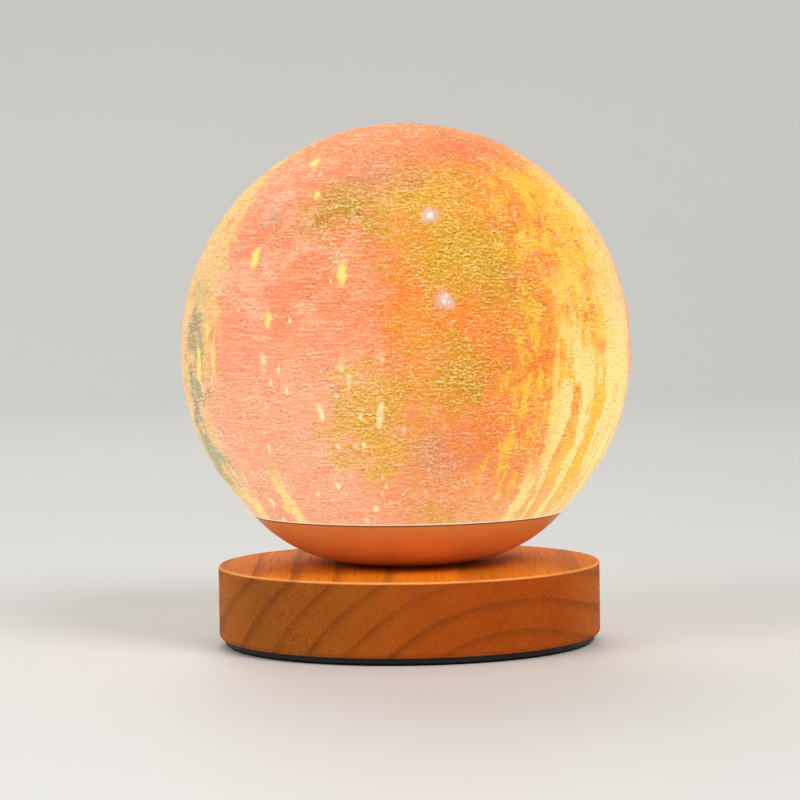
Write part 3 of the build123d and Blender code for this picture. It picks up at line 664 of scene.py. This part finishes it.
def paintPine(grain):
    material, tree, shader = newMaterial("pineOiled")
    at = SimpleNamespace(tree=tree, paint=grain)
    spot = objectPlace(tree)
    x, _, z = axes(tree, spot)

    def grown(name):
        return waves(at, name, stretch(tree, spot, 1.0, grain["pulls"][name], 1.0))

    heartX, heartZ = grain["heart"]
    fromHeart = stretch(tree, vecCalc(tree, "SUBTRACT", spot, (heartX, 0.0, heartZ)), 1.0, 0.0, 1.0)
    bent = plus(tree, shift(at, "bend", grown("bend")), vecCalc(tree, "LENGTH", fromHeart))
    rings = calc(tree, "DIVIDE", bent, grain["ring"])
    ring = calc(tree, "FRACT", rings)
    count = calc(tree, "FLOOR", rings)
    year = add(tree, "TexWhiteNoise", {"W": count}, noise_dimensions="1D").outputs["Value"]
    fibre, cloud = grown("fibre"), grown("cloud")
    warm = edge(at, "warmSide", x)
    # late wood comes in slowly and ends sooner, darker in some years
    late = times(tree, edge(at, "lateStart", ring), edge(at, "lateEnd", ring), edge(at, "year", year),
                 edge(at, "patchy", grown("patchy")), edge(at, "warmFade", warm))
    at.colour = tone(*grain["shades"]["early"])
    lay(at, "warmSide", warm)
    # cut ends drink more oil and turn darker than faces along the grain; the top is made far paler than the
    # flanks, painted light where the glow falls on it
    normal = axes(tree, add(tree, "NewGeometry").outputs["Normal"])
    flank = edge(at, "flank", calc(tree, "ABSOLUTE", normal["X"]))
    grainAndLitTop = most(tree, flank, edge(at, "top", normal["Z"]))
    lay(at, "grainAndLitTop", grainAndLitTop)
    lay(at, "lateWood", late)
    lay(at, "cloud", edge(at, "cloud", cloud))
    lay(at, "pores", times(tree, edge(at, "pores", fibre), edge(at, "poreFade", grainAndLitTop)))
    lay(at, "paleFibre", edge(at, "paleFibre", fibre))
    # painted highlight: a thin pale line along both rims of the turned block, where the edges catch light
    low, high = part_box("wood_base")
    fromAxis = vecCalc(tree, "LENGTH", stretch(tree, spot, 1.0, 1.0, 0.0))
    rims = []
    for level in (low.z, high.z):
        toRim = add(tree, "CombineXYZ", {0: calc(tree, "SUBTRACT", fromAxis, high.x),
                                         1: calc(tree, "SUBTRACT", z, level)}).outputs[0]
        rims.append(step(tree, vecCalc(tree, "LENGTH", toRim), *grain["rimBand"]))
    lay(at, "paintedRimHighlight", times(tree, most(tree, *rims), edge(at, "paintedRimHighlight", cloud)))
    lay(at, "dust", place(tree, dustGroup, {"Amount": grain["dustAmount"]})["Mask"])
    raised = calc(tree, "SUBTRACT", times(tree, late, grain["lateRise"]), fibre)
    feed(tree, shader, {
        "Base Color": at.colour, "Roughness": edge(at, "rough", fibre),
        "Normal": bumpNormal(tree, raised, *grain["bump"]), "Specular IOR Level": grain["shine"]})
    return material


# every other finish is a mottle with its own colours, grain and shine

finishes = {
    "satinCopper": {"dark": (234, 147, 78), "light": (241, 157, 88), "scale": 90.0, "speck": 0.1,
                    # seam: width of the painted shadow line on the dish under the globe's edge
                    "rough": (0.36, 0.44), "bump": 0.00001, "metal": 0.15, "seamShadow": 0.0007},
    "whiteMoulded": {"dark": (222, 220, 214), "light": (240, 238, 233), "scale": 220.0, "speck": 0.5,
                     "rough": (0.42, 0.56), "bump": 0.00004, "layers": True},
    "blackMoulded": {"dark": (18, 14, 12), "light": (33, 27, 24), "scale": 700.0, "speck": 0.9,
                     "rough": (0.42, 0.6), "bump": 0.00006, "dust": 0.1, "shine": 0.25},
    "blackRubber": {"dark": (14, 11, 10), "light": (27, 22, 20), "scale": 900.0, "speck": 1.2,
                    "rough": (0.66, 0.86), "bump": 0.0001, "dust": 0.14, "shine": 0.2},
    "zincSteel": {"dark": (150, 150, 152), "light": (196, 196, 198), "scale": 300.0, "speck": 0.4,
                  "rough": (0.26, 0.42), "bump": 0.00002, "metal": 1.0, "lines": 0.04},
    "turnedAluminium": {"dark": (182, 183, 187), "light": (216, 217, 220), "scale": 260.0, "speck": 0.3,
                        "rough": (0.24, 0.4), "bump": 0.00003, "metal": 1.0, "lines": 0.02},
    "turnedBrass": {"dark": (176, 130, 58), "light": (214, 172, 92), "scale": 320.0, "speck": 0.4,
                    "rough": (0.2, 0.36), "bump": 0.00002, "metal": 1.0, "lines": 0.02},
    "greenMask": {"dark": (16, 74, 38), "light": (34, 112, 60), "scale": 500.0, "speck": 0.2,
                  "rough": (0.28, 0.4), "bump": 0.00003, "tracks": (52, 142, 82)},
    "whiteMask": {"dark": (222, 222, 216), "light": (240, 240, 235), "scale": 500.0, "speck": 0.2,
                  "rough": (0.3, 0.42), "bump": 0.00003, "tracks": (206, 206, 196)},
    "phosphor": {"dark": (240, 204, 96), "light": (252, 232, 150), "scale": 1400.0, "speck": 0.6,
                 "rough": (0.25, 0.4), "bump": 0.00002, "glow": 1.0},
    "partBlack": {"dark": (30, 30, 31), "light": (52, 52, 54), "scale": 900.0, "speck": 0.8,
                  "rough": (0.45, 0.62), "bump": 0.00004},
    "sinteredDark": {"dark": (64, 64, 68), "light": (104, 104, 108), "scale": 1200.0, "speck": 1.0,
                     "rough": (0.36, 0.55), "bump": 0.00005, "metal": 0.9},
    "slickNylon": {"dark": (214, 210, 200), "light": (234, 231, 222), "scale": 260.0, "speck": 0.3,
                   "rough": (0.3, 0.44), "bump": 0.00003},
    "foilPouch": {"dark": (150, 152, 157), "light": (196, 198, 202), "scale": 140.0, "speck": 0.6,
                  "rough": (0.24, 0.44), "bump": 0.00012, "metal": 0.7},
    "openFoam": {"dark": (40, 40, 41), "light": (76, 76, 78), "scale": 1800.0, "speck": 1.4,
                 "rough": (0.8, 0.95), "bump": 0.0003},
    "redLead": {"dark": (132, 22, 18), "light": (164, 34, 28), "scale": 600.0, "speck": 0.4,
                "rough": (0.4, 0.55), "bump": 0.00003},
    "frostedLens": {"dark": (206, 214, 204), "light": (232, 238, 228), "scale": 800.0, "speck": 0.6,
                    "rough": (0.3, 0.45), "bump": 0.00003},
    "nickelPlate": {"dark": (176, 174, 168), "light": (208, 206, 200), "scale": 400.0, "speck": 0.3,
                    "rough": (0.16, 0.3), "bump": 0.00002, "metal": 1.0, "lines": 0.05},
}

# what the finishes share
finishDetail = {
    "trackScale": 520.0, "trackEdge": (0.42, 0.46), "lineScale": 1600.0, "lineShare": 0.6,
    "layers": {"Pitch": 0.0006, "Break": 200.0}, "dustShade": (150, 142, 132),
    # seam colour, core and strength: the painted shadow line under the globe's edge
    "seamShadowTone": (92, 36, 12), "seamShadowCore": 0.3, "seamShadowStrength": 0.75, "plainShine": 0.5,
}


def makeFinish(name, look, detail):
    material, tree, shader = newMaterial(name)
    mottle = place(tree, mottleGroup, {"Scale": look["scale"], "Dark": tone(*look["dark"]),
                                       "Light": tone(*look["light"]), "Speck": look["speck"]})
    colour, mask, height = (mottle[k] for k in ("Colour", "Mask", "Height"))
    if "tracks" in look:
        # copper tracks under the solder mask
        cell = add(tree, "TexVoronoi", {"Vector": objectPlace(tree), "Scale": detail["trackScale"]},
                   distance="CHEBYCHEV")
        track = step(tree, cell.outputs["Distance"], *detail["trackEdge"])
        colour = blend(tree, track, colour, tone(*look["tracks"]))
        height = plus(tree, height, track)
    if "lines" in look:
        lines = place(tree, brushedGroup, {"Scale": detail["lineScale"], "Length": look["lines"]})
        rest = times(tree, mask, 1 - detail["lineShare"])
        mask = calc(tree, "MULTIPLY_ADD", lines["Mask"], detail["lineShare"], rest)
        height = plus(tree, height, lines["Height"])
    if "layers" in look:
        height = plus(tree, height, place(tree, layersGroup, detail["layers"])["Height"])
    if "seamShadow" in look:
        # painted shadow: a thin dark line on the dish just under the globe's edge, where the joint lies in
        # shade
        level = axes(tree, objectPlace(tree))["Z"]
        far, near = look["seamShadow"], look["seamShadow"] * detail["seamShadowCore"]
        jointShadow = times(tree, step(tree, level, mouthLevel - far, mouthLevel - near),
                      step(tree, level, mouthLevel + far, mouthLevel + near, 0.0, detail["seamShadowStrength"]))
        colour = blend(tree, jointShadow, colour, tone(*detail["seamShadowTone"]))
    if "dust" in look:
        dust = place(tree, dustGroup, {"Amount": look["dust"]})["Mask"]
        colour = blend(tree, dust, colour, tone(*detail["dustShade"]))
    smooth, coarse = look["rough"]
    feed(tree, shader, {
        "Base Color": colour, "Roughness": step(tree, mask, 0.0, 1.0, coarse, smooth),
        "Normal": bumpNormal(tree, height, look["bump"]), "Metallic": look.get("metal", 0.0),
        "Specular IOR Level": look.get("shine", detail["plainShine"])})
    if "glow" in look:
        feed(tree, shader, {"Emission Color": colour, "Emission Strength": look["glow"]})
    return material


wears = {
    "pineOiled": ["wood_base"],
    "satinCopper": ["dish"],
    "whiteMoulded": ["deck"],
    "blackMoulded": ["bottom_cover", "rear_bezel", "power_button", "power_jack", "switch_body",
                     "dock_core", "dock_bush", "battery_strap"],
    "blackRubber": ["foot_pad"],
    "zincSteel": ["cover_screws", "bezel_screws", "deck_screws", "post_screws", "led_screws", "jack_screws",
                  "board_screws", "strap_screws", "magnet_plate", "keeper_ring"],
    "turnedAluminium": ["led_post"],
    "turnedBrass": ["dock_barrel", "dock_nut", "jack_pin"],
    "greenMask": ["control_board", "jack_board"],
    "whiteMask": ["led_board"],
    "phosphor": ["leds"],
    "partBlack": ["board_parts", "switch_plunger"],
    "sinteredDark": ["ring_magnet"],
    "slickNylon": ["glide_ring"],
    "foilPouch": ["battery"],
    "openFoam": ["battery_tape"],
    "redLead": ["dock_leads", "led_leads", "battery_leads"],
    "frostedLens": ["charge_lens"],
    "nickelPlate": ["usb_socket"],
}


def dressNodes():
    made = {name: makeFinish(name, look, finishDetail) for name, look in finishes.items()}
    made["pineOiled"] = paintPine(pineGrain)
    for name, nodes in wears.items():
        for node in nodes:
            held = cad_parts[node].data.materials
            held.clear()
            held.append(made[name])
    bare = set(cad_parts) - {node for nodes in wears.values() for node in nodes} - {"globe_shell"}
    print("finishes on CAD nodes, without one:", sorted(bare))


dressNodes()


# pale floor that sweeps up into a wall all round

studio = {
    "floor": (226, 225, 222), "shadeNoise": (3.0, 3.0, 0.5), "shadeShare": 0.97, "floorRough": 0.55,
    "rings": [0.35, 0.8, 1.5], "sweep": 0.7, "wall": 0.6, "bends": 12, "segments": 96,
    # sky strength as a light, then where it is seen
    "sky": (236, 234, 230), "skyStrength": (0.3, 1.0),
    # power, width, place, all aimed at one point
    "aim": (0, 0, 0.08),
    "lamps": {"keyLight": (23.0, 1.0, (0.95, -1.25, 1.5)), "fillLight": (13.0, 1.2, (-1.3, -1.0, 1.2)),
              "backLight": (9.0, 1.2, (-0.3, 1.4, 1.4))},
}


def makeFloor(setup):
    flat, sweep, count = setup["rings"][-1], setup["sweep"], setup["segments"]
    rings = [(reach, 0.0) for reach in setup["rings"]]
    for k in range(1, setup["bends"] + 1):
        bend = k / setup["bends"] * math.pi / 2
        rings.append((flat + sweep * math.sin(bend), sweep * (1 - math.cos(bend))))
    rings.append((flat + sweep, sweep + setup["wall"]))
    points, faces = [(0.0, 0.0, 0.0)], []
    turns = [2 * math.pi * k / count for k in range(count)]
    for reach, level in rings:
        points += [(reach * math.cos(turn), reach * math.sin(turn), level) for turn in turns]
    for k in range(count):
        after = (k + 1) % count
        faces.append((0, 1 + k, 1 + after))
        for row in range(len(rings) - 1):
            a, b = 1 + row * count, 1 + (row + 1) * count
            faces.append((a + k, b + k, b + after, a + after))
    mesh = bpy.data.meshes.new("studioFloor")
    mesh.from_pydata(points, [], faces)
    mesh.polygons.foreach_set("use_smooth", [True] * len(faces))
    floor = bpy.data.objects.new("studioFloor", mesh)
    scene.collection.objects.link(floor)
    material, tree, shader = newMaterial("paleFloor")
    shade = noise(tree, objectPlace(tree), *setup["shadeNoise"])
    pale = tone(*setup["floor"])
    dimmer = tuple(v * setup["shadeShare"] for v in pale[:3]) + (1.0,)
    feed(tree, shader, {"Base Color": blend(tree, shade, pale, dimmer), "Roughness": setup["floorRough"]})
    # the floor lets the underside be seen from below
    clear = add(tree, "BsdfTransparent")
    surface = add(tree, "MixShader", {0: add(tree, "NewGeometry").outputs["Backfacing"],
                                      1: shader.outputs[0], 2: clear.outputs[0]})
    feed(tree, tree.nodes["Material Output"], {"Surface": surface.outputs[0]})
    mesh.materials.append(material)


def makeWorld(setup):
    world = bpy.data.worlds.new("studioSky")
    world.use_nodes = True
    tree = world.node_tree
    path = add(tree, "LightPath").outputs
    seen = most(tree, path["Is Camera Ray"], most(tree, path["Is Glossy Ray"], path["Is Transmission Ray"]))
    least, full = setup["skyStrength"]
    strength = add(tree, "MapRange", {"Value": seen, "To Min": least, "To Max": full}).outputs[0]
    feed(tree, tree.nodes["Background"], {"Color": tone(*setup["sky"]), "Strength": strength})
    scene.world = world


def makeLight(name, power, size, spot, aim):
    lamp = bpy.data.lights.new(name, "AREA")
    lamp.shape, lamp.size, lamp.energy = "DISK", size, power
    lampObject = bpy.data.objects.new(name, lamp)
    scene.collection.objects.link(lampObject)
    lampObject.location = spot
    lampObject.rotation_mode = "QUATERNION"
    lampObject.rotation_quaternion = (Vector(aim) - Vector(spot)).to_track_quat("-Z", "Y")


makeFloor(studio)
makeWorld(studio)
for lampName, lampSetup in studio["lamps"].items():
    makeLight(lampName, *lampSetup, studio["aim"])
print("studio ready")


# camera where the photograph was taken from

lookFrom = {"place": (0.0, -1.0, 0.13024), "yaw": -0.0022, "pitch": 0.04947, "roll": -0.0145,
            "lens": 135.25, "sensor": 36.0, "clip": (0.01, 20.0)}


def makeCamera(view):
    data = bpy.data.cameras.new("studioCamera")
    data.sensor_fit, data.sensor_width, data.lens = "HORIZONTAL", view["sensor"], view["lens"]
    data.clip_start, data.clip_end = view["clip"]
    camera = bpy.data.objects.new("studioCamera", data)
    scene.collection.objects.link(camera)
    turned = (Matrix.Rotation(-view["yaw"], 4, "Z") @ Matrix.Rotation(math.pi / 2 - view["pitch"], 4, "X")
              @ Matrix.Rotation(view["roll"], 4, "Z"))
    camera.matrix_world = Matrix.Translation(view["place"]) @ turned
    scene.camera = camera


makeCamera(lookFrom)
